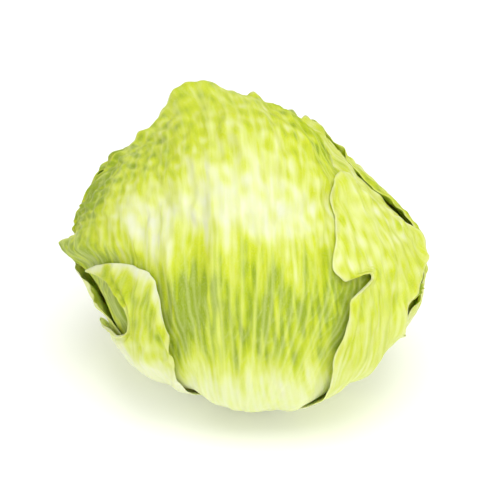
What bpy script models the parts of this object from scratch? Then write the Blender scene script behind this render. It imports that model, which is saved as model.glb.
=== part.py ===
"""A head of crisphead lettuce standing on its cut stem, as separate leaves.

Run it with: blender --background --python part.py
Metres, +Z up. The origin is the middle of the cut stem's underside, where the head
stands. The front of the head faces -Y.

The head is a round heart with leaves laid over it one after another, from the inside
out. Every shape is a radius from the head's centre: a leaf lies on the heart and on
all the leaves laid before it, so the leaves wrap each other without touching.
"""

import math
from dataclasses import dataclass

import bmesh
import bpy
import numpy as np

# Driving dimensions, in metres
CENTRE_HEIGHT = 0.0598  # of the head's centre above the table
HEART_HALF_WIDTH = 0.0675  # along X
HEART_HALF_DEPTH = 0.0660  # along Y
HEART_RISE = 0.0585  # from the centre to the heart's top
HEART_DROP = 0.0420  # from the centre to the heart's underside
UPPER_FULLNESS = 1.85  # superellipse exponents: 2 is an ellipse, less is more pointed
LOWER_FULLNESS = 2.75
STEM_RADIUS = 0.0190
STEM_HEIGHT = 0.0085
STEM_EDGE = 0.0008  # bevel round the cut
BLADE = 0.0010  # leaf thickness in the blade
RIB = 0.0014  # leaf thickness at the foot of the midrib
GAP = 0.00125  # between one leaf and the next
STEM_CLEARANCE = 0.0012  # between the leaf feet and the stem

# How a leaf lies over the edges of the leaves beneath it, in degrees round the head
EDGE_COVER = 12.0
EDGE_FADE = 18.0
# How far past a leaf's edge a corner beneath it starts to lift
LIFT_CLEAR = 4.0
LIFT_FADE = 8.0

# Mesh fineness
LEAF_FACET = 10.4  # degrees of the head that one facet of a leaf spans, across and along
OUTLINE_POINTS = 60  # along each side of a leaf
HEART_SEGMENTS = 32
HEART_RINGS = 20
STEM_SEGMENTS = 40

# Swellings (+) and hollows (-) of the head: direction from the centre, share, tightness
LOBES = (
    ((0.76, 0.35, 0.54), -0.21, 6.0),  # the flatter right shoulder
    ((0.40, 0.45, 0.80), -0.10, 7.0),
    ((-0.34, 0.46, 0.82), 0.03, 16.0),  # the fuller top on the left
    ((-0.10, -0.90, 0.45), 0.035, 9.0),  # the front swells above its middle
    ((0.05, -1.00, -0.10), -0.02, 12.0),  # and is a little flat below it
    ((0.06, -0.58, -0.81), 0.20, 9.0),  # its underside reaches down to the table
    ((-0.40, -0.20, -0.88), -0.10, 16.0),
    ((0.10, 0.55, -0.83), -0.14, 6.0),
    ((0.85, -0.40, -0.30), -0.05, 8.0),
    ((-0.92, -0.25, -0.25), -0.05, 10.0),  # the left side falls in below
    ((-0.92, 0.12, 0.32), 0.10, 8.0),
)


@dataclass
class Leaf:
    """One leaf. Angles are in degrees; 0 faces the front and grows to the right."""

    name: str
    facing: float
    tip: float  # angle of the tip from straight down: 90 is mid-height, 180 is the top
    left: float  # greatest half-widths
    right: float
    colour: tuple
    widest: float = 0.62  # where along its length it is widest
    foot: float = 0.24  # width at the foot, as a share of the greatest width
    shoulder: float = 0.55  # width at the tip, as a share of the greatest width
    droop: float = 0.16  # how much shorter the leaf is at its sides than in its middle
    lean: float = 0.0  # sideways turn of the tip
    lift: tuple = ()  # (u, v, height, reach): corners that stand away from the head
    start: float = 0.0  # angle of the foot, found from the stem's radius


PALE = (0.70, 0.77, 0.34, 1.0)
YELLOW_GREEN = (0.55, 0.66, 0.11, 1.0)
GREEN = (0.44, 0.57, 0.08, 1.0)
HEART_COLOUR = (0.74, 0.80, 0.38, 1.0)
CUT_COLOUR = (0.80, 0.74, 0.55, 1.0)

# From the inside out
LEAVES = (
    Leaf("cap_leaf_back", 150, 222, 55, 55, YELLOW_GREEN),
    Leaf("cap_leaf_left", -80, 214, 55, 55, YELLOW_GREEN),
    Leaf("cap_leaf_right", 55, 210, 58, 58, YELLOW_GREEN),
    Leaf("head_leaf_back_left", -135, 196, 62, 62, GREEN),
    Leaf("head_leaf_back_right", 130, 192, 62, 62, GREEN),
    Leaf("head_leaf_left", -75, 178, 60, 60, GREEN),
    Leaf("head_leaf_back", 180, 186, 64, 64, GREEN),
    Leaf("head_leaf_right", 92, 170, 58, 60, GREEN),
    Leaf("wrapper_leaf_back_right", 140, 148, 50, 50, PALE),
    Leaf("wrapper_leaf_back_left", -140, 138, 50, 48, PALE),
    Leaf(
        "head_leaf_front", -8, 208, 80, 74, YELLOW_GREEN, widest=0.56, foot=0.20,
        lean=-28, lift=((-1.0, 0.52, 0.009, 0.10), (0.0, 1.0, 0.004, 0.07)),
    ),
    Leaf("wrapper_leaf_left", -98, 86, 44, 44, PALE, widest=0.8, shoulder=0.8, droop=0.08),
    Leaf("wrapper_leaf_right", 61, 160, 28, 31, PALE, foot=0.6, shoulder=0.6),
    Leaf("wrapper_leaf_front_left", -44, 104, 15, 14, PALE, widest=0.8, foot=0.6,
         shoulder=0.9, droop=0.04),
    Leaf("wrapper_leaf_back", 175, 118, 42, 42, PALE),
)


def smooth(x):
    """Rises from 0 to 1 as x goes from 0 to 1, level at both ends."""
    x = np.clip(x, 0.0, 1.0)
    return x * x * (3.0 - 2.0 * x)


def head_radius(d):
    """The heart's radius in each direction d, an array of unit vectors.

    A superellipsoid about the centre, pointed above and full below, times one plus the
    lobes, each of which fades as exp(tightness * (cosine - 1)) away from its direction.
    """
    level = np.hypot(d[:, 0] / HEART_HALF_WIDTH, d[:, 1] / HEART_HALF_DEPTH)
    up = d[:, 2] > 0
    height = np.abs(d[:, 2]) / np.where(up, HEART_RISE, HEART_DROP)
    power = np.where(up, UPPER_FULLNESS, LOWER_FULLNESS)
    radius = (level**power + height**power) ** (-1.0 / power)
    swell = np.ones(len(d))
    for direction, share, tightness in LOBES:
        axis = np.array(direction) / np.linalg.norm(direction)
        swell += share * np.exp(tightness * (d @ axis - 1.0))
    return radius * swell


def half_width(leaf, side, v):
    """The leaf's half-width in degrees at v along its length, on the side of u's sign.

    It widens from the foot to the widest place and narrows again to the shoulder.
    """
    most = np.where(side < 0, leaf.left, leaf.right)
    opening = leaf.foot + (1.0 - leaf.foot) * smooth(v / leaf.widest) ** 0.75
    closing = 1.0 - (1.0 - leaf.shoulder) * smooth((v - leaf.widest) / (1.0 - leaf.widest))
    return most * np.where(v < leaf.widest, opening, closing)


def leaf_frame(leaf):
    """The horizontal unit vectors that the leaf faces and that point to its right."""
    facing = math.radians(leaf.facing)
    outward = np.array([math.sin(facing), -math.cos(facing), 0.0])
    sideways = np.array([math.cos(facing), math.sin(facing), 0.0])
    return outward, sideways


def leaf_directions(leaf, u, v):
    """Unit vectors for u from -1 to 1 across the leaf and v from 0 to 1 along it.

    The leaf runs up the meridian that it faces, and its sides turn away from it.
    """
    outward, sideways = leaf_frame(leaf)
    length = leaf.tip - leaf.start
    polar = np.radians(leaf.start + length * v * (1.0 - leaf.droop * (u * v) ** 2))
    turn = np.radians(u * half_width(leaf, u, v) + leaf.lean * v**2)
    along = np.sin(polar)[:, None] * outward - np.cos(polar)[:, None] * np.array([0, 0, 1])
    return np.cos(turn)[:, None] * along + np.sin(turn)[:, None] * sideways


def leaf_coordinates(leaf, d):
    """The u and v of each direction d, the inverse of leaf_directions."""
    outward, sideways = leaf_frame(leaf)
    turn = np.degrees(np.arcsin(np.clip(d @ sideways, -1.0, 1.0)))
    polar = np.degrees(np.arctan2(d @ outward, -d[:, 2]))
    polar = np.where(polar < -90.0, polar + 360.0, polar)
    straight = (polar - leaf.start) / (leaf.tip - leaf.start)
    v = straight
    for _ in range(6):
        inside = np.clip(v, 0.0, 1.0)
        u = (turn - leaf.lean * inside**2) / half_width(leaf, turn, inside)
        v = straight / (1.0 - leaf.droop * (np.clip(u, -1.0, 1.0) * inside) ** 2)
    return u, v


def outline_directions(leaf):
    """Unit vectors all the way round the leaf's outline."""
    t = np.linspace(-1.0, 1.0, OUTLINE_POINTS)
    one = np.ones(OUTLINE_POINTS)
    u = np.concatenate([t, one, t, -one])
    v = np.concatenate([0 * one, (t + 1) / 2, one, (t + 1) / 2])
    return leaf_directions(leaf, u, v)


def coverage(leaf, d, past=EDGE_COVER, fade=EDGE_FADE):
    """How much the leaf counts at each direction d, from 0 to 1, and v there.

    It is 1 on the leaf and for some degrees past its edge, then fades to 0.
    """
    u, v = leaf_coordinates(leaf, d)
    within = (np.abs(u) <= 1.0) & (v >= 0.0) & (v <= 1.0)
    nearest = np.max(d @ outline_directions(leaf).T, axis=1)
    beyond = np.degrees(np.arccos(np.clip(nearest, -1.0, 1.0)))
    share = 1.0 - smooth((beyond - past) / fade)
    return np.where(within, 1.0, share), np.clip(v, 0.0, 1.0)


def thickness_share(v):
    """1 at the foot, where the midrib is thickest, and 0 where only the blade is left."""
    return 1.0 - smooth(v / 0.45)


def stack_radius(earlier, d):
    """The radius at which the next leaf's inner face lies over the earlier leaves."""
    radius = head_radius(d) + GAP
    for leaf in earlier:
        share, v = coverage(leaf, d)
        radius += share * (BLADE + (RIB - BLADE) * thickness_share(v) + GAP)
    return radius


def lifted(leaf, later, u, v, d):
    """How far the leaf's free corners stand away from the head, in metres."""
    height = np.zeros(len(u))
    for at_u, at_v, most, reach in leaf.lift:
        away = ((u - at_u) / (4 * reach)) ** 2 + ((v - at_v) / reach) ** 2
        height += most * np.exp(-away)
    for other in later:
        height *= 1.0 - coverage(other, d, LIFT_CLEAR, LIFT_FADE)[0]
    return height


def foot_angle(leaf, earlier):
    """The angle from straight down at which the leaf's foot clears the stem."""
    angle = 20.0
    for _ in range(4):
        polar = math.radians(angle)
        outward, _ = leaf_frame(leaf)
        d = math.sin(polar) * outward - math.cos(polar) * np.array([0, 0, 1])
        radius = stack_radius(earlier, d[None, :])[0]
        angle = math.degrees(math.asin((STEM_RADIUS + STEM_CLEARANCE) / radius))
    return angle


def plain_material(name, colour, roughness):
    """A Principled material with one colour."""
    material = bpy.data.materials.new(name)
    material.use_nodes = True
    shader = material.node_tree.nodes["Principled BSDF"]
    shader.inputs["Base Color"].default_value = colour
    shader.inputs["Roughness"].default_value = roughness
    shader.inputs["Metallic"].default_value = 0.0
    return material


def object_from(mesh_builder, name, collection, material):
    """A smooth-shaded object in the collection, with the mesh that a bmesh holds."""
    mesh = bpy.data.meshes.new(name)
    mesh_builder.to_mesh(mesh)
    mesh_builder.free()
    mesh.materials.append(material)
    mesh.shade_smooth()
    piece = bpy.data.objects.new(name, mesh)
    collection.objects.link(piece)
    return piece


def place(mesh_builder, radius, d):
    """Moves each vertex to its radius along its direction from the head's centre."""
    points = d * radius[:, None] + np.array([0.0, 0.0, CENTRE_HEIGHT])
    for vertex, point in zip(mesh_builder.verts, points):
        vertex.co = point


def add_stem(collection):
    """The cut stem: a short round butt with a flat face to stand on."""
    builder = bmesh.new()
    bmesh.ops.create_cone(
        builder, cap_ends=True, segments=STEM_SEGMENTS,
        radius1=STEM_RADIUS, radius2=STEM_RADIUS, depth=STEM_HEIGHT,
    )
    bmesh.ops.translate(builder, verts=builder.verts, vec=(0.0, 0.0, STEM_HEIGHT / 2))
    material = plain_material("cut_stem", CUT_COLOUR, 0.6)
    stem = object_from(builder, "stem_butt", collection, material)
    stem.data.set_sharp_from_angle(angle=math.radians(40))
    bevel = stem.modifiers.new("rounded_cut", "BEVEL")
    bevel.width = STEM_EDGE
    bevel.segments = 2
    return stem


def add_heart(collection):
    """The heart: the young leaves folded tight into one ball."""
    builder = bmesh.new()
    bmesh.ops.create_uvsphere(
        builder, u_segments=HEART_SEGMENTS, v_segments=HEART_RINGS, radius=1.0
    )
    d = np.array([vertex.co.normalized() for vertex in builder.verts])
    place(builder, head_radius(d), d)
    return object_from(
        builder, "heart", collection, plain_material("heart_leaf", HEART_COLOUR, 0.45)
    )


def add_leaf(leaf, earlier, later, collection):
    """A leaf: a grid laid over the leaves before it, given its thickness outwards."""
    builder = bmesh.new()
    bmesh.ops.create_grid(
        builder,
        x_segments=math.ceil((leaf.left + leaf.right) / LEAF_FACET),
        y_segments=math.ceil((leaf.tip - leaf.start) / LEAF_FACET),
        size=1.0,
    )
    flat = np.array([vertex.co[:] for vertex in builder.verts])
    u = flat[:, 0]
    v = (flat[:, 1] + 1.0) / 2
    d = leaf_directions(leaf, u, v)
    place(builder, stack_radius(earlier, d) + lifted(leaf, later, u, v, d), d)
    material = plain_material(leaf.name, leaf.colour, 0.45)
    piece = object_from(builder, leaf.name, collection, material)
    group = piece.vertex_groups.new(name="midrib")
    for index, share in enumerate(thickness_share(v)):
        group.add([index], float(share), "REPLACE")
    wall = piece.modifiers.new("leaf_thickness", "SOLIDIFY")
    wall.thickness = RIB
    wall.offset = 1.0
    wall.vertex_group = group.name
    wall.thickness_vertex_group = BLADE / RIB
    return piece


def main():
    for leftover in list(bpy.data.objects):
        bpy.data.objects.remove(leftover, do_unlink=True)
    collection = bpy.data.collections.new("head_of_lettuce")
    bpy.context.scene.collection.children.link(collection)
    add_stem(collection)
    add_heart(collection)
    for index, leaf in enumerate(LEAVES):
        leaf.start = foot_angle(leaf, LEAVES[:index])
    for index, leaf in enumerate(LEAVES):
        add_leaf(leaf, LEAVES[:index], LEAVES[index + 1 :], collection)


main()
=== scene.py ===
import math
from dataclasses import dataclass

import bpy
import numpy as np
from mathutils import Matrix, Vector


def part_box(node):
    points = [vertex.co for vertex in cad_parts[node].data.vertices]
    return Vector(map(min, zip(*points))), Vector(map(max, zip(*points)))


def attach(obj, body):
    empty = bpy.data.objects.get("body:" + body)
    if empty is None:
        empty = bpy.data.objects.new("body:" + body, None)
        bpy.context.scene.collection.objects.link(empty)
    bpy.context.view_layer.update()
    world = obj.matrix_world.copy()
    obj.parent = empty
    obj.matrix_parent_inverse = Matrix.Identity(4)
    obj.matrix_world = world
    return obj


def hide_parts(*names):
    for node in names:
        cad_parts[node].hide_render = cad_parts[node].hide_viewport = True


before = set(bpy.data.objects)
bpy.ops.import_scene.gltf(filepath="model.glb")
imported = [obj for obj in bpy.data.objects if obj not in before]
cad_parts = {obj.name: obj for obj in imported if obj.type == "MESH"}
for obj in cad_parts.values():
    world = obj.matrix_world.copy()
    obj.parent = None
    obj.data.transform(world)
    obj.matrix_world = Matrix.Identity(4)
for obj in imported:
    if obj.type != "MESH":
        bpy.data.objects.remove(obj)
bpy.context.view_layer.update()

# %% [markdown]
# # A head of crisphead lettuce
#
# The frame that was just loaded holds plain solids: a cut stem, a heart, and fifteen
# leaves laid over the heart one after another. This lesson gives each of them the shape
# and the skin of the real thing. A crisphead leaf is a bowl of thin, crisp tissue with a
# thick pale midrib, a fan of raised veins, puckered green between the veins and a thin
# wavy margin.
#
# Leaves could be sculpted by hand, grown with cloth simulation, or worked out. Here each
# leaf is worked out with numpy, because the leaves of a tight head lie exactly on each
# other, and a formula can keep them in order where a simulation would let them cross.

heart_low, heart_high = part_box("heart")
stem_low, stem_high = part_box("stem_butt")
HEART_HALF_WIDTH = (heart_high.x - heart_low.x) / 2
HEART_HALF_DEPTH = (heart_high.y - heart_low.y) / 2
CENTRE_SHARE = 0.457  # of the heart's height, where the head is widest
CENTRE_HEIGHT = heart_low.z + CENTRE_SHARE * (heart_high.z - heart_low.z)
HEART_RISE = heart_high.z - CENTRE_HEIGHT
HEART_DROP = CENTRE_HEIGHT - heart_low.z
STEM_RADIUS = (stem_high.x - stem_low.x) / 2
MEAN_RADIUS = 0.078  # of the head, to turn degrees round it into lengths along a leaf
MM = 0.001
print("head centre", round(CENTRE_HEIGHT, 4), "m up; stem radius", round(STEM_RADIUS, 4), "m")

# %% [markdown]
# ## The round of the head
#
# A crisphead is round because its leaves grew round each other, but it is no ball: it is
# full and flat below, drawn in towards the top, and flatter on the side it was packed on.
# A superellipsoid gives the full base and the drawn-in top with two exponents, and a few
# broad lobes push it in or out. Every other shape is measured from this one, as a radius
# from the head's centre.

# %% The radius of the head in every direction
UPPER_FULLNESS = 1.85
LOWER_FULLNESS = 2.75
# Direction from the centre, share of the radius, tightness
LOBES = (
    ((0.76, 0.35, 0.54), -0.19, 6.0),
    ((0.40, 0.45, 0.80), -0.035, 7.0),
    ((-0.42, 0.45, 0.79), 0.05, 14.0),
    ((-0.10, -0.90, 0.45), 0.035, 9.0),
    ((0.05, -1.00, -0.10), -0.02, 12.0),
    ((-0.04, -0.58, -0.81), 0.13, 9.0),
    ((0.62, -0.42, -0.66), -0.09, 12.0),
    ((-0.55, -0.42, -0.72), -0.10, 12.0),
    ((0.10, 0.55, -0.83), -0.14, 6.0),
    ((0.97, 0.05, 0.15), 0.055, 12.0),
    ((-0.92, -0.25, -0.25), -0.05, 10.0),
    ((-0.92, 0.12, 0.32), 0.11, 8.0),
    ((0.91, -0.24, -0.34), -0.05, 14.0),
)


def smooth(x):
    """Rises from 0 to 1 as x goes from 0 to 1, level at both ends: 3x^2 - 2x^3."""
    x = np.clip(x, 0.0, 1.0)
    return x * x * (3.0 - 2.0 * x)


def head_radius(d):
    """The heart's radius along unit vectors d.

    (level^n + height^n)^(-1/n), with level and height the direction's parts in units of
    the half-widths, times one plus every lobe: share * exp(tightness * (cosine - 1)).
    """
    level = np.hypot(d[:, 0] / HEART_HALF_WIDTH, d[:, 1] / HEART_HALF_DEPTH)
    up = d[:, 2] > 0
    height = np.abs(d[:, 2]) / np.where(up, HEART_RISE, HEART_DROP)
    power = np.where(up, UPPER_FULLNESS, LOWER_FULLNESS)
    radius = (level**power + height**power) ** (-1.0 / power)
    swell = np.ones(len(d))
    for direction, share, tightness in LOBES:
        axis = np.array(direction) / np.linalg.norm(direction)
        swell += share * np.exp(tightness * (d @ axis - 1.0))
    return radius * swell


print("radius towards the front", round(head_radius(np.array([[0.0, -1.0, 0.0]]))[0], 4))

# %% [markdown]
# ## What makes one leaf different from the next
#
# A leaf faces one way round the stem, reaches up to some angle over the head, and is as
# wide as it is. Outer leaves are often trimmed short, so their tops are blunt, and handling
# nicks their margins. Leaves could be scattered at random, but this head is known by a few
# of its leaves, so they are listed. The list runs from the inside out, in the order in
# which the leaves wrap the head, and the defaults suit a leaf that is mostly covered.

# %% The leaves, from the inside out
@dataclass
class Leaf:
    """One leaf. Angles are in degrees; 0 faces the front and grows to the right."""

    name: str
    slot: str
    facing: float
    tip: float  # angle of the tip from straight down: 90 is mid-height, 180 is the top
    left: float  # greatest half-widths
    right: float
    cell: tuple  # size of one cell of its surface across and along, in mm
    rise: float  # what it adds to the pile, in mm
    widest: float = 0.62  # where along its length it is widest
    foot: float = 0.24  # width at the foot, as a share of the greatest width
    shoulder: float = 0.55  # width at the tip, as a share of the greatest width
    droop: float = 0.16  # how much shorter the leaf is at its sides than in its middle
    lean: float = 0.0  # sideways turn of the tip
    lift: tuple = ()  # (u, v, height in mm, reach in u, reach in v): parts that stand away
    notch: tuple = ()  # (side, v, depth, reach below, reach above): nicks in the margin
    # (side or 0 for all, from v, to v, mm): margins that stand off, or lie flush below 0
    edge: tuple = ((0, 0.5, 1.1, 0.8),)
    ruffle: float = 1.0  # how wavy the margin is
    midrib: float = 1.0  # how strongly the midrib stands up
    fan: int = 22  # long veins that leave the foot side by side
    # On a few leaves, noted where they are listed, the green curve and the patches also hold
    # painted shade and painted highlight.
    green: tuple = ((0.0, 0.05), (0.25, 0.3), (0.5, 0.6), (1.0, 0.9))  # (v, greenness)
    sides: float = 0.2  # how much greener the leaf is towards its sides
    patches: tuple = ()  # (around, up, width, height in degrees, change of greenness)
    start: float = 0.0  # angle of the foot, found from the stem's radius


# The front leaf has a green band at mid-height, partly painted shade, a pale zone over
# it, partly pale ribs and partly a painted highlight, and a green top.
FRONT_GREEN_AND_PAINTED_LIGHT = ((0.0, 0.05), (0.24, 0.12), (0.31, 0.40), (0.37, 0.78), (0.49, 0.80),
               (0.56, 0.45), (0.62, 0.10), (0.67, 0.10), (0.74, 0.32), (0.86, 0.52), (1.0, 0.58))
# Of these patches, the narrow ones along lifted margins at (-24, 14), (-27, -5) and (33, 0), the
# one at the right gap (72, 5) and the one in the left hollow (-52, -3) are painted shade; the
# paling at (-46, 28) is partly a painted highlight on the shoulder; the rest are tints.
FRONT_TINTS_AND_PAINTED_LIGHT = ((-24, 14, 6, 12, 0.45), (-46, 28, 12, 9, -0.35), (-86, 18, 14, 12, 0.6),
                 (-80, 48, 20, 14, 0.30), (46, 20, 12, 16, 0.3), (-52, -3, 12, 12, 0.9),
                 (4, 8, 12, 16, 0.12), (72, 5, 9, 14, 0.7), (32, 36, 9, 10, 0.25),
                 (33, 0, 5, 16, 0.4), (-27, -5, 4, 12, 0.3))
LEAVES = (
    Leaf("cap_leaf_back", "cap_leaf", 150, 222, 55, 55, (2.0, 3.0), 2.3),
    Leaf("cap_leaf_left", "cap_leaf", -80, 214, 55, 55, (2.0, 3.0), 2.3),
    Leaf("cap_leaf_right", "cap_leaf", 55, 210, 58, 58, (2.0, 3.0), 2.3),
    Leaf("head_leaf_back_left", "head_leaf", -135, 196, 62, 62, (1.5, 2.4), 2.3),
    Leaf("head_leaf_back_right", "head_leaf", 130, 192, 62, 62, (1.3, 2.2), 2.3),
    # Its deep green is painted shade for the shaded hollows where it shows between outer leaves.
    Leaf("head_leaf_left", "head_leaf", -75, 178, 60, 60, (1.5, 2.4), 2.0, ruffle=0.3,
         green=((0.0, 0.1), (0.3, 0.9), (0.6, 1.0), (1.0, 0.8))),
    Leaf("head_leaf_back", "head_leaf", 180, 186, 64, 64, (1.2, 2.0), 1.6),
    # Its patch is painted shade where it shows in the gap on the right.
    Leaf("head_leaf_right", "head_leaf", 92, 170, 58, 60, (1.2, 2.0), 1.6, ruffle=0.3,
         green=((0.0, 0.1), (0.4, 0.3), (1.0, 0.5)), patches=((78, 11, 10, 15, 0.8),)),
    # Its patch is painted shade in the gap along its left margin.
    Leaf("wrapper_leaf_back_right", "wrapper_leaf", 140, 147, 65, 50, (1.0, 1.6), 1.5,
         widest=0.45, foot=0.5, shoulder=0.6, edge=((-1, 0.25, 0.60, 1.0),), ruffle=0.12,
         green=((0.0, 0.1), (0.4, 0.3), (1.0, 0.5)), patches=((75, 9, 5, 12, 0.6),)),
    Leaf("wrapper_leaf_back_left", "wrapper_leaf", -140, 138, 50, 48, (1.0, 1.6), 1.4),
    Leaf(
        "head_leaf_front", "head_leaf", -8, 208, 88, 90, (0.82, 1.64), 1.2, widest=0.56,
        foot=0.20, lean=-28,
        lift=((-0.98, 0.49, 7.5, 0.40, 0.10), (0.0, 1.0, 7.5, 0.18, 0.07),
              (0.1, 1.0, 1.5, 0.5, 0.07)),
        edge=((0, 0.45, 1.1, 0.6), (-1, 0.5, 0.9, 1.6)), ruffle=0.35, midrib=0.4, fan=40,
        green=FRONT_GREEN_AND_PAINTED_LIGHT, sides=0.2, patches=FRONT_TINTS_AND_PAINTED_LIGHT,
    ),
    Leaf("wrapper_leaf_left", "wrapper_leaf", -98, 86, 44, 45, (1.0, 1.5), 1.3, widest=0.75,
         shoulder=0.6, droop=0.08, ruffle=0.2, green=((0.0, 0.05), (0.5, 0.2), (1.0, 0.2))),
    Leaf("wrapper_leaf_right", "wrapper_leaf", 50, 148, 25.0, 33, (0.6, 1.2), 1.3, widest=0.70,
         foot=0.55, shoulder=0.34, droop=0.05, lean=6,
         notch=((-1, 0.705, 0.66, 0.022, 0.018), (-1, 0.70, 0.26, 0.14, 0.07),
                (1, 0.53, 0.74, 0.12, 0.115)),
         edge=((-1, 0.25, 0.715, 1.6), (-1, 0.73, 0.86, 0.8), (0, 0.86, 1.1, -1.2),
               (1, 0.35, 0.80, 2.6)), ruffle=0.2, midrib=0.5, fan=16, sides=0.0,
         green=((0.0, 0.05), (0.3, 0.25), (0.52, 0.45), (0.66, 0.5), (0.76, 0.36), (0.90, 0.36),
                (1.0, 0.42))),
    # Its pale lower part is its own colour; the darker band high on it is partly painted shade,
    # and the pale rim at its top is partly a painted highlight.
    Leaf("wrapper_leaf_front_left", "wrapper_leaf", -44, 108, 36, 15.5, (0.55, 1.1), 1.3,
         widest=0.8, foot=0.5, shoulder=0.95, droop=0.2, lift=((1.0, 0.88, 2.2, 0.6, 0.12),),
         notch=((-1, 0.755, 0.90, 0.12, 0.16),),
         edge=((1, 0.2, 0.95, 1.6), (-1, 0.5, 0.92, 2.2)), ruffle=0.08, midrib=0.4, fan=12,
         sides=0.0, green=((0.0, 0.0), (0.58, 0.0), (0.72, 0.50), (0.87, 0.75), (0.95, 0.5),
                           (1.0, 0.1))),
    Leaf("wrapper_leaf_back", "wrapper_leaf", 175, 118, 42, 42, (1.0, 1.6), 1.4),
)
print(len(LEAVES), "leaves")

# %% [markdown]
# ## Where a point of a leaf lies
#
# Every leaf is a sheet with two parameters: u runs across it from -1 to 1 and v runs
# along it from the foot, 0, to the tip, 1. The sheet could be bent from a flat outline,
# but then its edges would drift off the head. Instead u and v give a direction from the
# head's centre: v climbs the meridian that the leaf faces and u turns away from it.


# %% Directions from the head's centre
def half_width(leaf, side, v, whole=False):
    """The half-width in degrees at v: opening from the foot, closing to the shoulder.

    Each nick takes off depth * exp(-|(v - place) / reach|^3) of it; whole leaves nicks out.
    """
    most = np.where(side < 0, leaf.left, leaf.right)
    opening = leaf.foot + (1.0 - leaf.foot) * smooth(v / leaf.widest) ** 0.75
    closing = 1.0 - (1.0 - leaf.shoulder) * smooth((v - leaf.widest) / (1.0 - leaf.widest))
    width = most * np.where(v < leaf.widest, opening, closing)
    for which, at, depth, below, above in () if whole else leaf.notch:
        nick = depth * np.exp(-np.abs((v - at) / np.where(v < at, below, above)) ** 3)
        width = width * np.where(side * which > 0, 1.0 - nick, 1.0)
    return width


def leaf_frame(leaf):
    """The horizontal unit vectors that the leaf faces and that point to its right."""
    facing = math.radians(leaf.facing)
    outward = np.array([math.sin(facing), -math.cos(facing), 0.0])
    sideways = np.array([math.cos(facing), math.sin(facing), 0.0])
    return outward, sideways


def leaf_directions(leaf, u, v):
    """Unit vectors for u across and v along the leaf.

    The polar angle grows with v, less at the sides by the droop. The turn off the
    meridian is u times the half-width, plus the lean, which grows as v squared.
    The droop goes by the share of the whole width, so a nick doesn't bend the leaf.
    """
    outward, sideways = leaf_frame(leaf)
    length = leaf.tip - leaf.start
    across = u * half_width(leaf, u, v)
    share = across / half_width(leaf, u, v, whole=True)
    polar = np.radians(leaf.start + length * v * (1.0 - leaf.droop * (share * v) ** 2))
    turn = np.radians(across + leaf.lean * v**2)
    along = np.sin(polar)[:, None] * outward - np.cos(polar)[:, None] * np.array([0, 0, 1])
    return np.cos(turn)[:, None] * along + np.sin(turn)[:, None] * sideways


def leaf_coordinates(leaf, d):
    """u and v of unit vectors d: leaf_directions solved backwards in six steps."""
    outward, sideways = leaf_frame(leaf)
    turn = np.degrees(np.arcsin(np.clip(d @ sideways, -1.0, 1.0)))
    polar = np.degrees(np.arctan2(d @ outward, -d[:, 2]))
    polar = np.where(polar < -90.0, polar + 360.0, polar)
    straight = (polar - leaf.start) / (leaf.tip - leaf.start)
    v = straight
    for _ in range(6):
        inside = np.clip(v, 0.0, 1.0)
        across = turn - leaf.lean * inside**2
        share = np.clip(across / half_width(leaf, across, inside, whole=True), -1.0, 1.0)
        v = straight / (1.0 - leaf.droop * (share * inside) ** 2)
    return across / half_width(leaf, across, inside), v


# %% [markdown]
# ## How leaves lie on each other
#
# A leaf rests on whatever is beneath it: where an edge of a lower leaf ends, the upper
# one sinks back to the head over a few millimetres. So each leaf adds its thickness to
# the pile on its own area and a little past its edge, and the next leaf lies at the
# height of the pile. Nothing can cross, however many leaves there are.

# %% The pile of leaves
BLADE = 0.65 * MM  # leaf thickness
RIB = 1.9 * MM  # at the foot of the midrib
GAP = 0.3 * MM
EDGE_COVER = 3.0  # degrees round the head
EDGE_FADE = 7.0
OUTLINE_POINTS = 72


def outline_directions(leaf):
    """Unit vectors all the way round the leaf's outline."""
    t = np.linspace(-1.0, 1.0, OUTLINE_POINTS)
    one = np.ones(OUTLINE_POINTS)
    u = np.concatenate([t, one, t, -one])
    v = np.concatenate([0 * one, (t + 1) / 2, one, (t + 1) / 2])
    return leaf_directions(leaf, u, v)


def coverage(leaf, d, past=EDGE_COVER, fade=EDGE_FADE):
    """1 on the leaf and for some degrees past its edge, then a smooth fall to 0; and v."""
    u, v = leaf_coordinates(leaf, d)
    within = (np.abs(u) <= 1.0) & (v >= 0.0) & (v <= 1.0)
    nearest = np.max(d @ outline_directions(leaf).T, axis=1)
    beyond = np.degrees(np.arccos(np.clip(nearest, -1.0, 1.0)))
    share = 1.0 - smooth((beyond - past) / fade)
    return np.where(within, 1.0, share), np.clip(v, 0.0, 1.0)


def thickness_share(v):
    """1 at the foot, where the midrib is thickest, falling to 0 along the leaf."""
    return 1.0 - smooth(v / 0.45)


def pile_radius(earlier, d):
    """The height of the pile of earlier leaves: the sum of coverage times rise."""
    radius = head_radius(d) + GAP
    for leaf in earlier:
        share, v = coverage(leaf, d)
        radius += share * (leaf.rise * MM + (RIB - BLADE) * thickness_share(v))
    return radius


def foot_angle(leaf, earlier):
    """The angle from straight down at which the leaf's foot meets the stem's side."""
    angle = 20.0
    for _ in range(4):
        polar = math.radians(angle)
        d = math.sin(polar) * leaf_frame(leaf)[0] - math.cos(polar) * np.array([0, 0, 1])
        radius = pile_radius(earlier, d[None, :])[0]
        angle = math.degrees(math.asin((STEM_RADIUS + 0.3 * MM) / radius))
    return angle


for place, leaf in enumerate(LEAVES):
    leaf.start = foot_angle(leaf, LEAVES[:place])
print("feet start at", [round(leaf.start, 1) for leaf in LEAVES], "degrees")

# %% [markdown]
# ## Veins
#
# A crisphead leaf has a midrib that is broad and white at the foot. Side veins leave it
# at narrow angles, one after another, run almost parallel to it and then bend out to the
# margin, and each sends off finer branches. The veins could be a bump texture, but the
# real ones stand up half a millimetre and catch the light, so they are in the shape.
#
# Each vein is a path whose angle from the midrib grows along it. A soft dot is pressed
# into a flat map of the leaf at every step of every path, keeping the highest value, and
# the leaf's points then look up their height on that map.

# %% Paths of the veins on the flat leaf, in mm
MAP_STEP = 0.4  # mm, the step of the vein map and along the veins


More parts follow.
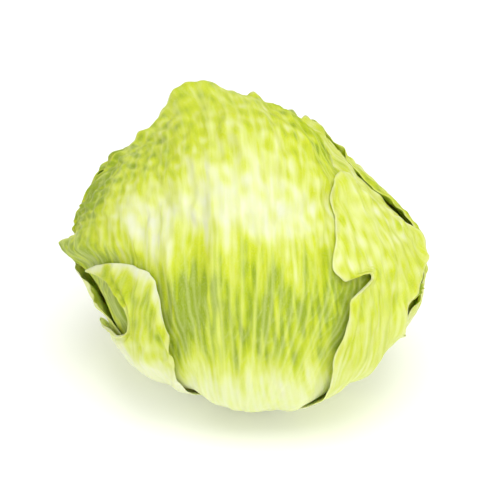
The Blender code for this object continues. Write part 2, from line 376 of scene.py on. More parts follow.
def fan_veins(leaf, length, rng):
    """Long veins as arrays (vein, step): x across, y along, progress and heading.

    x = u0 * half-width(y) * (0.70 + 0.30 * rise(y)): they leave the foot side by side,
    widen with the leaf, bend outwards near the top, and stop at different heights.
    """
    y = np.arange(0.0, length, MAP_STEP)[None, :]
    v = y / length
    spacing = 1.9 / leaf.fan
    u0 = np.linspace(-0.95, 0.95, leaf.fan) + rng.uniform(-0.4, 0.4, leaf.fan) * spacing
    u0 = u0[:, None]
    width = np.radians(half_width(leaf, u0, v, whole=True)) * MEAN_RADIUS / MM
    wander = 0.5 * np.sin(y / rng.uniform(9, 18, (leaf.fan, 1)) + 9 * u0) * smooth(v / 0.3)
    x = u0 * width * (0.70 + 0.30 * smooth(v / 0.9)) + wander
    top = np.where(rng.random((leaf.fan, 1)) < 0.6, 0.96, rng.uniform(0.45, 0.9, (leaf.fan, 1)))
    heading = np.arctan(np.gradient(x, MAP_STEP, axis=1))
    return x, np.broadcast_to(y, x.shape), v / top, heading


def branch_veins(x, y, progress, heading, spacing, reach, turns, rng):
    """Branches off the given veins: short paths that leave at turns[0] to turns[1] degrees."""
    every = int(spacing / MAP_STEP)
    pick = np.zeros(x.shape, bool)
    pick[:, every // 3 :: every] = True
    pick = np.roll(pick, 3, axis=1) & (progress < 0.97) & (progress > 0.12)
    pick &= rng.random(x.shape) < 0.85
    from_x, from_y, from_heading = x[pick], y[pick], heading[pick]
    count = len(from_x)
    outward = np.where(rng.random(count) < 0.75, np.sign(from_x), -np.sign(from_x))
    turn = outward * np.radians(rng.uniform(*turns, count))
    steps = int(reach / MAP_STEP)
    length = rng.uniform(0.4, 1.0, count)
    along = np.arange(steps)[None, :] / steps / length[:, None]
    bend = from_heading[:, None] + turn[:, None] * (1.0 - 0.35 * along)
    bend = bend + 0.15 * np.sin(6 * along + from_y[:, None])
    bx = from_x[:, None] + np.cumsum(np.sin(bend), axis=1) * MAP_STEP
    by = from_y[:, None] + np.cumsum(np.cos(bend), axis=1) * MAP_STEP
    return bx, by, along, bend


# %% [markdown]
# The map keeps two things apart: how high each vein stands, which shapes the leaf, and
# how pale it is, which colours it. Both come from the same dots, so they always agree.


# %% Pressing the veins into a map
def press(field, x, y, height, width, half_across):
    """Raises the map to height * exp(-(distance / width)^2) round every point (x, y)."""
    reach = int(math.ceil(2.2 * width / MAP_STEP))
    offsets = np.arange(-reach, reach + 1)
    column = np.round((x + half_across) / MAP_STEP).astype(int)
    row = np.round(y / MAP_STEP).astype(int)
    columns = column[:, None, None] + offsets[None, None, :]
    rows = row[:, None, None] + offsets[None, :, None]
    gap_x = columns * MAP_STEP - half_across - x[:, None, None]
    gap_y = rows * MAP_STEP - y[:, None, None]
    value = height[:, None, None] * np.exp(-(gap_x**2 + gap_y**2) / width**2)
    columns, rows = np.broadcast_arrays(columns, rows)
    on_map = (rows >= 0) & (rows < field.shape[0]) & (columns >= 0) & (columns < field.shape[1])
    np.maximum.at(field, (rows[on_map], columns[on_map]), value[on_map])


def look_up(field, x, y, half_across):
    """The map's value at each point, blended between its four nearest cells."""
    column = np.clip((x + half_across) / MAP_STEP, 0, field.shape[1] - 1.001)
    row = np.clip(y / MAP_STEP, 0, field.shape[0] - 1.001)
    c, r = column.astype(int), row.astype(int)
    fc, fr = column - c, row - r
    low = field[r, c] * (1 - fc) + field[r, c + 1] * fc
    high = field[r + 1, c] * (1 - fc) + field[r + 1, c + 1] * fc
    return low * (1 - fr) + high * fr


def vein_maps(leaf, length, half_across, rng):
    """Maps of ridge height in mm, of paleness, and of the troughs beside the veins."""
    shape = (int(length / MAP_STEP) + 2, int(2 * half_across / MAP_STEP) + 2)
    ridge, pale, trough = (np.zeros(shape) for _ in range(3))
    y = np.arange(0.0, 0.94 * length, MAP_STEP)
    x = 1.2 * np.sin(y / 23.0)
    fade = 1.0 - y / length
    for part, width, share in ((y < 0.25 * length, 3.6, 1.0), (y < 0.55 * length, 2.4, 0.8),
                               (y < length, 1.3, 0.55)):
        one = np.ones(part.sum()) * leaf.midrib
        press(ridge, x[part], y[part], 1.5 * share * fade[part] * one, width, half_across)
        press(pale, x[part], y[part], 0.95 * one, width * 1.1, half_across)
        press(trough, x[part], y[part], one, width + 2.5, half_across)
    fx, fy, progress, heading = fan_veins(leaf, length, rng)
    shown = progress < 1.0
    fade = (1.0 - 0.75 * progress[shown]) * smooth(progress[shown] / 0.1)
    press(ridge, fx[shown], fy[shown], 0.50 * fade, 0.85, half_across)
    press(pale, fx[shown], fy[shown], 0.85 * fade**0.4, 0.75, half_across)
    press(trough, fx[shown], fy[shown], fade**0.5, 2.4, half_across)
    bx, by, along, bend = branch_veins(fx, fy, progress, heading, 13.0, 26.0, (10, 28), rng)
    shown = along < 1.0
    fade = (1.0 - 0.7 * along)[shown]
    press(ridge, bx[shown], by[shown], 0.26 * fade, 0.7, half_across)
    press(pale, bx[shown], by[shown], 0.55 * fade, 0.55, half_across)
    press(trough, bx[shown], by[shown], 0.6 * fade, 1.8, half_across)
    return ridge, pale, trough


# %% [markdown]
# ## Folds, puckers and the wavy margin
#
# Between the veins the blade grows faster than the veins do, so it puckers, and the
# margin grows fastest of all, so it waves. Fractal noise would do for a rock, but a leaf
# is gathered along its length: its folds are long and narrow near the foot and rounder
# near the tip. Sums of waves with seeded directions give that, because each band of
# waves can be stretched along the leaf.


# %% Waves
def waves(x, y, across, along, rng, count=26):
    """A smooth random field of about unit strength: a sum of cosines.

    The wavelengths are about `across` and `along`, varied by a third either way.
    """
    total = np.zeros(len(x))
    for _ in range(count):
        turn = rng.uniform(0, 2 * math.pi)
        scale = rng.uniform(0.7, 1.4)
        kx = 2 * math.pi * math.cos(turn) * scale / across
        ky = 2 * math.pi * math.sin(turn) * scale / along
        total += np.cos(kx * x + ky * y + rng.uniform(0, 2 * math.pi))
    return total * math.sqrt(2.0 / count)


# %% [markdown]
# ## One leaf
#
# The sheet is laid on the pile, lifted where it is free, and given its thickness. The
# outer face carries the veins. The inner face stays smooth, as on a real leaf, and the
# wall thins out to the margin. Both faces and the four rims make one closed skin.


# %% The relief of one leaf
FOLD = 0.55  # mm, like every height here
PUCKER = 0.40
BLISTER = 0.45  # how far the blade swells between the veins
RUFFLE_REACH = 10.0  # how far in from the margin its waves reach
EDGE_REACH = 4.0  # how far in from the margin it is bent up


def rim_distance(leaf, u, v):
    """Distance in mm to the nearest margin, and to the margin at the side."""
    side = np.radians((1.0 - np.abs(u)) * half_width(leaf, u, v)) * MEAN_RADIUS / MM
    top = np.radians((1.0 - v) * (leaf.tip - leaf.start)) * MEAN_RADIUS / MM
    return np.minimum(side, top), side


def leaf_lift(leaf, u, v, x, y, rng):
    """How far the whole sheet stands off the pile, in mm: folds, puckers, margins, corners."""
    rim, side = rim_distance(leaf, u, v)
    near_rim = np.exp(-((rim / RUFFLE_REACH) ** 2))
    most = np.radians(max(leaf.left, leaf.right)) * MEAN_RADIUS / MM
    polar = leaf.start + (leaf.tip - leaf.start) * v
    loose = smooth((polar - 30.0) / 50.0)
    folds = FOLD * (1 + waves(most * u, y, 24.0, 90.0, rng))
    puckered = 0.25 + 0.75 * smooth((v - 0.3) / 0.4)
    puckers = PUCKER * (1 + waves(x, y, 8.0, 15.0, rng)) * puckered
    ruffle = leaf.ruffle * near_rim * (1.0 + waves(x + y, y - x, 17.0, 21.0, rng))
    lift = np.clip(folds, 0, None) + np.clip(puckers, 0, None) + np.clip(ruffle, 0, None)
    lift *= loose
    uneven = 0.75 + 0.25 * np.clip(waves(x, y, 26.0, 26.0, rng), -1.5, 1.5)
    for which, low, high, height in leaf.edge:
        near = rim if which == 0 else np.where(u * which > 0, side, 99.0)
        window = smooth((v - low) / 0.08) * smooth((high - v) / 0.06)
        lift += height * window * uneven * np.exp(-((near / EDGE_REACH) ** 2)) * loose
    for at_u, at_v, height, wide, high in leaf.lift:
        lift += height * np.exp(-(((u - at_u) / wide) ** 4) - ((v - at_v) / high) ** 2)
    return np.clip(lift, 0.0, None)


# %% [markdown]
# How green a point is depends first on the leaf: the foot grew in the dark and is pale,
# and the blade greens towards its top. On a few leaves the curve and the patches also
# hold the studio's light: painted shade in the front leaf's green band at mid-height and
# in the gaps and hollows beside lifted margins, and a painted highlight in the pale zone
# over that band. So greenness is a curve along the leaf, listed patches where this head
# is greener, paler or in shade, and fine streaks and mottles that grow with the green itself.


# %% The greenness of one leaf
def spot(d, around, up, across, along):
    """1 in one direction and a bell around it, across and along degrees wide."""
    a, e = math.radians(around), math.radians(up)
    east = np.array([math.cos(a), math.sin(a), 0.0])
    north = np.array([-math.sin(a) * math.sin(e), math.cos(a) * math.sin(e), math.cos(e)])
    middle = np.array([math.sin(a) * math.cos(e), -math.cos(a) * math.cos(e), math.sin(e)])
    x, y = np.degrees(np.arcsin(d @ east)), np.degrees(np.arcsin(np.clip(d @ north, -1, 1)))
    return np.where(d @ middle > 0, np.exp(-((x / across) ** 2) - (y / along) ** 2), 0.0)


def leaf_tone(leaf, d, u, v, x, y, rng):
    """Greenness from 0 to about 1: along the leaf, towards its sides, in streaks and patches."""
    # On a few leaves the curve and the patches read here are partly painted shade and highlight.
    at, value = zip(*leaf.green)
    tone = np.interp(v + 0.018 * waves(x, y, 14.0, 40.0, rng), at, value)
    upper = smooth((v - 0.5) / 0.2)
    tone += leaf.sides * smooth((np.abs(u) - 0.3) / 0.5) * upper
    for around, up, across, along, change in leaf.patches:
        tone += change * spot(d, around, up, across, along)
    streaks = waves(x, y, 3.4, 40.0, rng, 60)
    mottles = waves(x, y, 8.0, 12.0, rng, 40)
    strength = 0.25 + 0.75 * np.clip(tone, 0, 1)
    tone += strength * 0.14 * streaks * (1 - 0.6 * upper)
    tone += strength * 0.16 * mottles * (0.2 + 0.8 * upper)
    rim = rim_distance(leaf, u, v)[0]
    return np.clip(tone * (1.0 - 0.5 * np.exp(-((rim / 1.8) ** 2))), 0.0, 1.3)


# %% [markdown]
# Now the sheet is put together. Where later leaves press on it, its relief is squeezed
# almost flat, which is what happens in a packed head and keeps the leaves from crossing.


# %% The sheet of one leaf
PRESSED = 0.04  # share of the lift that stays under other leaves
PRESSED_VEINS = 0.1
PRESS_PAST = 1.5  # degrees beyond a later leaf's edge that it still presses
PRESS_FADE = 5.0
FOOT_RIB = 0.9 * MM  # extra wall at the foot


def build_leaf(place):
    """The leaf's outer and inner grids of radii, and what its points know of it.

    inner = pile + gap + lift, and outer = inner + wall + veins. The wall thins to the rim.
    """
    leaf = LEAVES[place]
    rng = np.random.default_rng(100 + place)
    long_mm = math.radians(leaf.tip - leaf.start) * MEAN_RADIUS / MM
    wide_mm = math.radians(leaf.left + leaf.right) * MEAN_RADIUS / MM
    columns = int(wide_mm / leaf.cell[0]) + 1
    rows = int(long_mm / leaf.cell[1]) + 1
    u, v = np.meshgrid(np.linspace(-1, 1, columns), np.linspace(0, 1, rows))
    u, v = u.ravel(), v.ravel()
    along_rim = long_mm * v * np.sign(u) + 0.5 * wide_mm * u
    frayed = 0.9 * leaf.ruffle * np.abs(waves(along_rim, 0 * v, 22.0, 9.0, rng)) * smooth(v / 0.4)
    width = np.radians(half_width(leaf, u, v)) * MEAN_RADIUS / MM
    d = leaf_directions(leaf, u * (1 - frayed / width * np.abs(u) ** 9), v)
    x, y = u * width, v * long_mm
    maps = vein_maps(leaf, long_mm, wide_mm, rng)
    ridge, pale, trough = (look_up(field, x, y, wide_mm) for field in maps)
    free = np.ones(len(d))
    for other in LEAVES[place + 1 :]:
        free *= 1.0 - coverage(other, d, PRESS_PAST, PRESS_FADE)[0]
    blister = BLISTER * (1.0 - np.clip(trough, 0, 1)) * smooth((v - 0.1) / 0.3)
    lift = leaf_lift(leaf, u, v, x, y, rng) + blister
    lift *= PRESSED + (1 - PRESSED) * free
    inner = pile_radius(LEAVES[:place], d) + GAP + lift * MM
    thin = 0.4 + 0.6 * smooth(rim_distance(leaf, u, v)[0] / 6.0)
    wall = (BLADE + FOOT_RIB * thickness_share(v)) * thin
    ridge *= PRESSED_VEINS + (1 - PRESSED_VEINS) * free
    outer = inner + wall + ridge * thin * MM
    tone = leaf_tone(leaf, d, u, v, x, y, rng)
    plane = np.stack([x + 37.0 * place, y + 11.0 * place, 0 * x], 1)  # no two leaves alike
    return d, inner, outer, rows, columns, {"plane": plane, "pale": pale, "tone": tone}


def settle(points):
    """Presses what would sink through the ground flat: z below 2 mm becomes 2 exp((z-2)/2)."""
    z = points[:, 2] / MM
    points[:, 2] = np.where(z < 2.0, 2.0 * np.exp((np.minimum(z, 2.0) - 2.0) / 2.0), z) * MM
    return points


# %% [markdown]
# A closed skin from two grids: the outer grid's faces, the inner grid's faces turned
# round, and a strip of faces along each rim that joins the two.


# %% From grids to a mesh
def grid_quads(rows, columns):
    """Corner numbers of every cell of a grid, turning the same way everywhere."""
    corner = (np.arange(rows - 1)[:, None] * columns + np.arange(columns - 1)).ravel()
    return np.stack([corner, corner + 1, corner + columns + 1, corner + columns], 1)


def rim_walk(rows, columns):
    """The grid's border points in order, all the way round, counter-clockwise."""
    bottom = np.arange(columns)
    right = np.arange(1, rows) * columns + columns - 1
    top = (rows - 1) * columns + np.arange(columns - 2, -1, -1)
    left = np.arange(rows - 2, 0, -1) * columns
    return np.concatenate([bottom, right, top, left])


def shell_faces(rows, columns):
    """Faces of the closed skin, where the inner grid's points follow the outer's."""
    count = rows * columns
    outer = grid_quads(rows, columns)
    inner = outer[:, ::-1] + count
    walk = rim_walk(rows, columns)
    onward = np.roll(walk, -1)
    rim = np.stack([walk, walk + count, onward + count, onward], 1)
    return np.concatenate([outer, inner, rim])


def mesh_from(name, points, quads, triangles=()):
    """A smooth-shaded mesh object at the origin, of quads and then triangles."""
    corners = np.concatenate([np.ravel(quads), np.ravel(triangles)]).astype(np.int32)
    sizes = np.concatenate([np.full(len(quads), 4), np.full(len(triangles), 3)])
    mesh = bpy.data.meshes.new(name)
    mesh.vertices.add(len(points))
    mesh.vertices.foreach_set("co", points.astype(np.float32).ravel())
    mesh.loops.add(len(corners))
    mesh.loops.foreach_set("vertex_index", corners)
    mesh.polygons.add(len(sizes))
    mesh.polygons.foreach_set("loop_start", (np.cumsum(sizes) - sizes).astype(np.int32))
    mesh.update(calc_edges=True)
    mesh.shade_smooth()
    piece = bpy.data.objects.new(name, mesh)
    bpy.context.scene.collection.objects.link(piece)
    return piece


def round_faces(rings, around):
    """Faces of rings stacked from the bottom, closed by one point below and one above."""
    here, after = np.arange(around), (np.arange(around) + 1) % around
    first = np.arange(rings - 1)[:, None] * around
    start, onward = (first + here).ravel(), (first + after).ravel()
    quads = np.stack([start, onward, onward + around, start + around], 1)
    last = (rings - 1) * around
    under = np.stack([np.full(around, rings * around), after, here], 1)
    over = np.stack([np.full(around, rings * around + 1), last + here, last + after], 1)
    return quads, np.concatenate([under, over])


def give(piece, name, values):
    """Stores one value or vector per point for the material to read."""
    kind = "FLOAT_VECTOR" if values.ndim == 2 else "FLOAT"
    field = "vector" if values.ndim == 2 else "value"
    layer = piece.data.attributes.new(name, kind, "POINT")
    layer.data.foreach_set(field, values.astype(np.float32).ravel())


# %% [markdown]
# ## Leaf colour
#
# The colour follows the leaf: nearly white in the midrib and at the foot, where no light
# came, pale along the veins, and yellow-green to green in the blade. It could be painted,
# but a rule that reads each point's place on the leaf gives every leaf its own pattern.


# %% Linear colours from the usual 0 to 255 values
def colour(red, green, blue):
    """Linear RGBA from display values: below 0.04 a straight line, else a 2.4 power."""
    shown = np.array([red, green, blue]) / 255.0
    linear = np.where(shown <= 0.04045, shown / 12.92, ((shown + 0.055) / 1.055) ** 2.4)
    return (*linear.tolist(), 1.0)


PALE = colour(232, 240, 164)
SHADES = (  # greenness and its colour
    (0.00, colour(238, 244, 206)),
    (0.25, colour(226, 236, 140)),
    (0.50, colour(208, 221, 44)),
    (0.75, colour(186, 204, 18)),
    (1.00, colour(148, 171, 10)),
)


# %% [markdown]
# A material is a tree of nodes. A few helpers, each making one node and handing back its
# output, let the leaf's rule be written almost as a formula.


# %% Node helpers
def add(tree, kind, **settings):
    """A node with the given properties."""
    node = tree.nodes.new(kind)
    for name, value in settings.items():
        setattr(node, name, value)
    return node


def mix_colours(tree, share, first, second, blend="MIX"):
    """A colour mix. Each of share, first and second is a socket or a plain value."""
    node = add(tree, "ShaderNodeMix", data_type="RGBA", blend_type=blend)
    sockets = node.inputs[0], node.inputs[6], node.inputs[7]
    for socket, value in zip(sockets, (share, first, second)):
        if hasattr(value, "links"):
            tree.links.new(value, socket)
        else:
            socket.default_value = value
    return node.outputs[2]


def maths(tree, operation, first, second=0.0, clamp=False):
    """A math node. Each operand is a socket or a number."""
    node = add(tree, "ShaderNodeMath", operation=operation, use_clamp=clamp)
    for socket, value in zip(node.inputs, (first, second)):
        if hasattr(value, "links"):
            tree.links.new(value, socket)
        else:
            socket.default_value = value
    return node.outputs[0]


def stretched(tree, source, scale, low, high):
    """A ramp from 0 to scale, for a value that runs from low to high."""
    node = add(tree, "ShaderNodeMapRange", clamp=True)
    tree.links.new(source, node.inputs["Value"])
    node.inputs["From Min"].default_value = low
    node.inputs["From Max"].default_value = high
    node.inputs["To Max"].default_value = scale
    return node.outputs["Result"]


def noise(tree, vector, scale, detail=3.0):
    """A noise value between 0 and 1, read at a vector."""
    node = add(tree, "ShaderNodeTexNoise")
    node.inputs["Scale"].default_value = scale
    node.inputs["Detail"].default_value = detail
    tree.links.new(vector, node.inputs["Vector"])
    return node.outputs["Fac"]


def scaled(tree, vector, scale):
    """The vector with each part multiplied by its own scale."""
    node = add(tree, "ShaderNodeMapping")
    node.inputs["Scale"].default_value = scale
    tree.links.new(vector, node.inputs["Vector"])
    return node.outputs["Vector"]


# %% [markdown]
# The blade has a net of veins too fine to shape, so a Voronoi pattern draws it, stretched
# along the leaf and bent by noise so that no cell looks cut out. Its coordinates are the
# flat leaf's own millimetres, which every point carries, so the pattern follows the leaf
# round the head. A leaf also lets a little light through, which is the subsurface share.


# %% The leaf material
NET_CELLS = (0.34, 0.16, 1.0)  # of fine veins, per mm across and along the leaf
STREAKS = (0.75, 0.05, 1.0)  # per mm
NET_PALE = 0.25  # share of the pale colour on the fine veins
RIB_PALE = 0.55  # and on the shaped ones


def leaf_material(name, roughness=0.40):
    """Procedural leaf skin: shades by greenness, a net of fine veins, streaks and grain."""
    material = bpy.data.materials.new(name)
    material.use_nodes = True
    tree = material.node_tree
    shader = tree.nodes["Principled BSDF"]
    plane = add(tree, "ShaderNodeAttribute", attribute_name="plane").outputs["Vector"]
    pale = add(tree, "ShaderNodeAttribute", attribute_name="pale").outputs["Fac"]
    tone = add(tree, "ShaderNodeAttribute", attribute_name="tone").outputs["Fac"]
    wobble = add(tree, "ShaderNodeTexNoise")
    wobble.inputs["Scale"].default_value = 0.22
    tree.links.new(plane, wobble.inputs["Vector"])
    flat = scaled(tree, plane, NET_CELLS)
    bent = mix_colours(tree, 0.5, flat, wobble.outputs["Color"], "ADD")
    net = add(tree, "ShaderNodeTexVoronoi", feature="DISTANCE_TO_EDGE")
    tree.links.new(bent, net.inputs["Vector"])
    netting = stretched(tree, net.outputs["Distance"], 1.0, 0.09, 0.0)
    patches = noise(tree, plane, 0.10, 4.0)
    streaks = noise(tree, scaled(tree, plane, STREAKS), 1.0, 4.0)
    blotches = maths(tree, "MULTIPLY", patches, 0.34)
    shift = maths(tree, "ADD", blotches, maths(tree, "MULTIPLY", streaks, 0.42))
    shift = maths(tree, "SUBTRACT", shift, 0.38)
    shift = maths(tree, "MULTIPLY", shift, maths(tree, "ADD", tone, 0.35))
    green = maths(tree, "ADD", tone, shift, True)
    ramp = add(tree, "ShaderNodeValToRGB")
    stops = ramp.color_ramp.elements
    stops[0].position, stops[0].color = SHADES[0]
    stops[1].position, stops[1].color = SHADES[-1]
    for position, shade in SHADES[1:-1]:
        stops.new(position).color = shade
    tree.links.new(green, ramp.inputs["Fac"])
    net_share = maths(tree, "MULTIPLY", netting, NET_PALE)
    veined = mix_colours(tree, net_share, ramp.outputs["Color"], PALE)
    skin = mix_colours(tree, maths(tree, "MULTIPLY", pale, RIB_PALE), veined, PALE)
    tree.links.new(skin, shader.inputs["Base Color"])
    grain = noise(tree, plane, 1.6)
    rough = stretched(tree, grain, roughness + 0.12, 0.0, 1.0)
    rough.node.inputs["To Min"].default_value = roughness - 0.08
    tree.links.new(rough, shader.inputs["Roughness"])
    relief = maths(tree, "MULTIPLY", netting, 0.7)
    relief = maths(tree, "ADD", relief, maths(tree, "MULTIPLY", grain, 0.5))
    relief = maths(tree, "ADD", relief, maths(tree, "MULTIPLY", streaks, 1.2))
    bump = add(tree, "ShaderNodeBump")
    bump.inputs["Strength"].default_value = 0.6
    bump.inputs["Distance"].default_value = 0.3 * MM
    tree.links.new(relief, bump.inputs["Height"])
    tree.links.new(bump.outputs["Normal"], shader.inputs["Normal"])
    shader.inputs["Subsurface Weight"].default_value = 0.35
    shader.inputs["Subsurface Radius"].default_value = (0.8, 1.0, 0.35)
    shader.inputs["Subsurface Scale"].default_value = 1.5 * MM
    shader.inputs["Specular IOR Level"].default_value = 0.2
    return material


MATERIALS = {
    "cap_leaf": leaf_material("cap leaf skin"),
    "head_leaf": leaf_material("head leaf skin"),
    "wrapper_leaf": leaf_material("wrapper leaf skin", 0.44),
}
print("materials:", ", ".join(MATERIALS))

# %% [markdown]
# ## Fifteen leaves
#
# Each leaf takes the place of its plain solid. Its two faces and its rim are one mesh, and
# its points carry the vein map and the greenness for the material to read.


# %% Building all the leaves
def add_leaf(place):
    """Builds and colours one leaf, hangs it on the root body and hides its plain solid."""
    leaf = LEAVES[place]
    d, inner, outer, rows, columns, knows = build_leaf(place)
    centre = np.array([0.0, 0.0, CENTRE_HEIGHT])
    points = np.concatenate([d * outer[:, None], d * inner[:, None]]) + centre
    piece = mesh_from(leaf.name + "_blade", settle(points), shell_faces(rows, columns))
    for name, values in knows.items():
        both = (2, 1) if values.ndim == 2 else 2
        give(piece, name, np.tile(values, both))
    piece.data.materials.append(MATERIALS[leaf.slot])
    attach(piece, "root")
    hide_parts(leaf.name)
    print(leaf.name, rows, "x", columns, "points a face, about", 4 * rows * columns,
          "triangles, lowest", round(points[:, 2].min() / MM, 2), "mm")


for place in range(len(LEAVES)):
    add_leaf(place)

# %% [markdown]
# ## The heart
#
# Under the outer leaves sits the heart, a ball of pale young leaves. Nothing of it shows
# unless leaves are taken away, but then it must look like leaves too. It could be built
# leaf by leaf like the rest, but they would be pressed into one ball anyway, so it is the
# head's own round with broad steps where the margins of its outermost leaves end.


# %% The heart
HEART_ROOM = 1.6 * MM  # between the heart and the first leaf, for its steps and wrinkles


def add_heart():
    """A closed ball of rings. Each margin is a step where a slanted, wavy plane cuts it.

    radius = head's radius - room + highest step + wrinkles, in one array for all points.
    """
    rings, around = 100, 200
    polar = np.linspace(0, math.pi, rings + 2)[1:-1]
    turn = np.arange(around) * 2 * math.pi / around
    p, t = (a.ravel() for a in np.meshgrid(polar, turn, indexing="ij"))
    d = np.stack([np.sin(p) * np.cos(t), np.sin(p) * np.sin(t), -np.cos(p)], 1)
    d = np.concatenate([d, [[0, 0, -1.0], [0, 0, 1.0]]])
    rng = np.random.default_rng(7)
    steps = np.zeros(len(d))
    for number in range(7):
        facing = number * 2.4
        axis = np.array([math.cos(facing), math.sin(facing), 0.55])
        wavy = 0.03 * waves(60 * d[:, 0] + 20 * d[:, 1], 60 * d[:, 2], 16.0, 16.0, rng, 8)
        step = 1.2 * smooth((d @ axis + wavy - 0.35) / 0.02) * (number + 3) / 10
        steps = np.maximum(steps, step)
    round_it = np.arctan2(d[:, 1], d[:, 0])
    wrinkles = 0.3 * waves(60 * round_it, 60 * d[:, 2], 9.0, 30.0, rng)
    wrinkles *= smooth(np.hypot(d[:, 0], d[:, 1]) / 0.5)
    radius = head_radius(d) + (steps + wrinkles) * MM - HEART_ROOM
    points = d * radius[:, None] + np.array([0.0, 0.0, CENTRE_HEIGHT])
    piece = mesh_from("heart_leaves", points, *round_faces(rings, around))
    give(piece, "plane", np.stack([70 * round_it, 70 * d[:, 2], 0 * round_it], 1))
    give(piece, "pale", 0.15 * (1 + waves(60 * d[:, 0], 60 * d[:, 2], 5.0, 30.0, rng)))
    tone = 0.22 + 0.12 * d[:, 2] + 0.05 * waves(60 * d[:, 0], 60 * d[:, 1], 9, 9, rng)
    give(piece, "tone", np.clip(tone, 0, 1))
    piece.data.materials.append(MATERIALS["cap_leaf"])
    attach(piece, "root")
    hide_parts("heart")
    print("heart:", rings * around, "points")


add_heart()

# %% [markdown]
# ## The cut stem
#
# The head was cut off its root with a knife. The cut is a disc a little hollow in the
# middle, cream when fresh and rusty where the milky sap has dried, most of all at its rim,
# and the side is ribbed where leaf feet were pulled away. A cylinder with a bump texture
# would show a knife-sharp edge, so a profile is turned round the axis instead.


# %% The stem's skin
def stem_material():
    """Cream flesh with rusty specks, as many as the point's rust says."""
    material = bpy.data.materials.new("cut stem")
    material.use_nodes = True
    tree = material.node_tree
    shader = tree.nodes["Principled BSDF"]
    place = add(tree, "ShaderNodeTexCoord").outputs["Object"]
    rust = add(tree, "ShaderNodeAttribute", attribute_name="rust").outputs["Fac"]
    specks = noise(tree, place, 420.0, 4.0)
    share = maths(tree, "MULTIPLY", rust, stretched(tree, specks, 1.0, 0.35, 0.65))
    clouds = noise(tree, place, 160.0)
    flesh = mix_colours(tree, clouds, colour(240, 236, 208), colour(222, 216, 166))
    skin = mix_colours(tree, share, flesh, colour(176, 118, 62))
    tree.links.new(skin, shader.inputs["Base Color"])
    bump = add(tree, "ShaderNodeBump")
    bump.inputs["Strength"].default_value = 0.5
    bump.inputs["Distance"].default_value = 0.3 * MM
    tree.links.new(specks, bump.inputs["Height"])
    tree.links.new(bump.outputs["Normal"], shader.inputs["Normal"])
    shader.inputs["Roughness"].default_value = 0.55
    shader.inputs["Subsurface Weight"].default_value = 0.2
    shader.inputs["Subsurface Scale"].default_value = 1.5 * MM
    return material


# %% The cut stem
CUT_RELIEF = 0.05 * MM  # the rim of the cut above the ground
CUT_HOLLOW = 0.55 * MM
CUT_RINGS = 0.12 * MM
EDGE_HEIGHT = 0.9 * MM
RIB_DEPTH = 0.35 * MM


def stem_profile():
    """Radii and heights: from the middle of the cut out, round the edge, up and over the top.

    The cut is hollowed by hollow * (1 - share of the radius squared) and ringed by a
    cosine. The edge is a quarter of an ellipse.
    """
    top = stem_high.z - 0.2 * MM
    cut_r = np.linspace(0.04, 0.95, 34) * STEM_RADIUS
    cut_z = CUT_RELIEF + CUT_HOLLOW * (1 - (cut_r / STEM_RADIUS) ** 2)
    cut_z += CUT_RINGS * (1 + np.cos(cut_r / MM * 2.1))
    edge = np.linspace(0.2, math.pi / 2, 7)
    edge_r = (0.95 + 0.045 * np.sin(edge)) * STEM_RADIUS
    edge_z = CUT_RELIEF + EDGE_HEIGHT * (1 - np.cos(edge))
    side_z = np.linspace(1.2 * MM, top - 0.4 * MM, 12)
    side_r = 0.995 * STEM_RADIUS - 0.5 * MM * smooth((side_z - 4 * MM) / (4 * MM))
    over_r = np.linspace(0.94, 0.04, 12) * STEM_RADIUS
    r = np.concatenate([cut_r, edge_r, side_r, over_r])
    z = np.concatenate([cut_z, edge_z, side_z, np.full(12, top)])
    return r, z


def add_stem():
    """The profile turned round the axis, with ribs |sin| deep on its side."""
    r, z = stem_profile()
    around = 160
    turn = np.arange(around) * 2 * math.pi / around
    on_side = smooth((r / STEM_RADIUS - 0.9) / 0.08)
    ribs = RIB_DEPTH * np.abs(np.sin(6.5 * turn + 0.7 * np.sin(3 * turn)))
    rr = r[:, None] - ribs[None, :] * on_side[:, None]
    zz = np.broadcast_to(z[:, None], rr.shape)
    points = np.stack([rr * np.cos(turn), rr * np.sin(turn), zz], 2).reshape(-1, 3)
    points = np.concatenate([points, [[0, 0, z[0]], [0, 0, z[-1]]]])
    piece = mesh_from("stem_flesh", points, *round_faces(len(r), around))
    distance = np.hypot(points[:, 0], points[:, 1]) / STEM_RADIUS
    on_cut = points[:, 2] < 1.2 * MM
    give(piece, "rust", on_cut * (0.25 + 0.6 * distance**3) + 0.12)
    piece.data.materials.append(stem_material())
    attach(piece, "root")
    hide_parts("stem_butt")
    print("stem:", len(points), "points, lowest", round(points[:, 2].min() / MM, 2), "mm")


add_stem()

# %% [markdown]
# ## The studio
#
# The head stands on a sheet of white paper in soft daylight. A bare white world would
# light it evenly and hide the veins, so one large lamp above gives the relief and a weak
# one in front and to the right fills the shade. The paper glows a little, as paper lit
# from all round does.

# %% The paper floor
FLOOR_REACH = 6.0


def floor_material():
    """Rough white paper, a little uneven."""
    material = bpy.data.materials.new("floor paper")
    material.use_nodes = True
    tree = material.node_tree
    shader = tree.nodes["Principled BSDF"]
    place = add(tree, "ShaderNodeTexCoord").outputs["Object"]
    white, off_white = (0.96, 0.96, 0.96, 1), (0.93, 0.93, 0.93, 1)
    paper = mix_colours(tree, noise(tree, place, 60.0), white, off_white)
    tree.links.new(paper, shader.inputs["Base Color"])
    shader.inputs["Roughness"].default_value = 0.9
    shader.inputs["Emission Color"].default_value = (1, 1, 1, 1)
    shader.inputs["Emission Strength"].default_value = 0.16
    return material


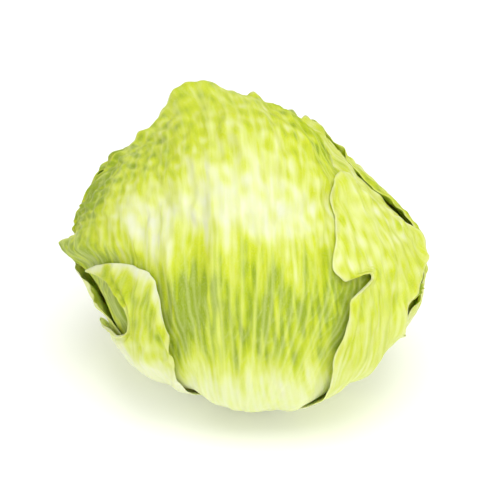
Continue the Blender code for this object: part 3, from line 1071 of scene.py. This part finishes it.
corners = [(x * FLOOR_REACH, y * FLOOR_REACH, 0) for x, y in ((-1, -1), (1, -1), (1, 1), (-1, 1))]
floor_mesh = bpy.data.meshes.new("floor")
floor_mesh.from_pydata(corners, [], [(0, 1, 2, 3)])
floor_mesh.materials.append(floor_material())
floor = bpy.data.objects.new("floor", floor_mesh)
bpy.context.scene.collection.objects.link(floor)
print("floor", 2 * FLOOR_REACH, "m wide")


# %% Light
def aim(thing, position, target, roll=0.0):
    """Puts a light or camera at a position, looking at the target."""
    look = Vector(target) - Vector(position)
    thing.location = position
    thing.rotation_euler = look.to_track_quat("-Z", "Y").to_euler()
    thing.rotation_euler.rotate_axis("Z", roll)


def add_area(name, position, size, power):
    """A square soft light that looks at the middle of the head."""
    light = bpy.data.lights.new(name, "AREA")
    light.size = size
    light.energy = power
    piece = bpy.data.objects.new(name, light)
    bpy.context.scene.collection.objects.link(piece)
    aim(piece, position, (0.0, 0.0, CENTRE_HEIGHT))


add_area("key", (0.10, -0.45, 1.4), 1.0, 11.5)
add_area("fill", (0.7, -1.5, 0.5), 1.2, 4.0)
WORLD_LIGHT = 0.69
WORLD_SEEN = 0.10  # how much brighter the camera sees it, to match the far floor
world = bpy.data.worlds.new("studio")
bpy.context.scene.world = world
world.use_nodes = True
sky = world.node_tree
seen = add(sky, "ShaderNodeLightPath").outputs["Is Camera Ray"]
brightness = maths(sky, "ADD", maths(sky, "MULTIPLY", seen, WORLD_SEEN), WORLD_LIGHT)
sky.nodes["Background"].inputs["Color"].default_value = (1, 1, 1, 1)
sky.links.new(brightness, sky.nodes["Background"].inputs["Strength"])
print("two lamps and the world")

# %% [markdown]
# A long lens from some way off keeps the head's round true, where a short one near it
# would swell its front. The camera looks down by about a third of a right angle.

# %% Camera
ELEVATION = math.radians(31)
ROLL = math.radians(3.0)
DISTANCE = 1.42
TARGET = (-0.004, 0.0, 0.066)
camera_data = bpy.data.cameras.new("camera")
camera_data.lens = 230
camera_data.sensor_width = 36
camera_data.clip_start = 0.01
camera = bpy.data.objects.new("camera", camera_data)
bpy.context.scene.collection.objects.link(camera)
height = TARGET[2] + DISTANCE * math.sin(ELEVATION)
aim(camera, (TARGET[0], -DISTANCE * math.cos(ELEVATION), height), TARGET, ROLL)
bpy.context.scene.camera = camera
bpy.context.scene.view_settings.view_transform = "Standard"
print("camera", DISTANCE, "m away")
